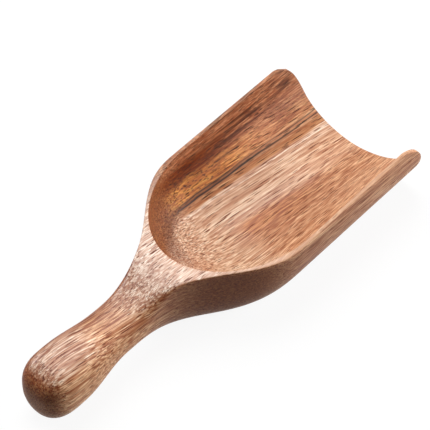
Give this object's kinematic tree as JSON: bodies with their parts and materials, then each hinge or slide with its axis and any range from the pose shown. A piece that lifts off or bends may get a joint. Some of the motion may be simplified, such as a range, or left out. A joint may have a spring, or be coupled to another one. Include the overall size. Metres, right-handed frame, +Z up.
{
  "type": "kitchen scoop",
  "caption": "Carved wooden kitchen scoop: a blunt knob handle and narrow neck flare into a trough-shaped bowl, open at the mouth, for lifting and pouring dry goods",
  "frame": {"origin": "On the table that the scoop lies on, under the middle of its length and width", "axes": "+Y runs along the scoop from the knob to the mouth, +Z is up, +X is across the bowl"},
  "size_m": [0.0818, 0.22, 0.0364],
  "materials": {
    "acacia": "satin oiled acacia"
  },
  "bodies": {
    "root": {"carved_scoop": "acacia"}
  },
  "joints": []
}
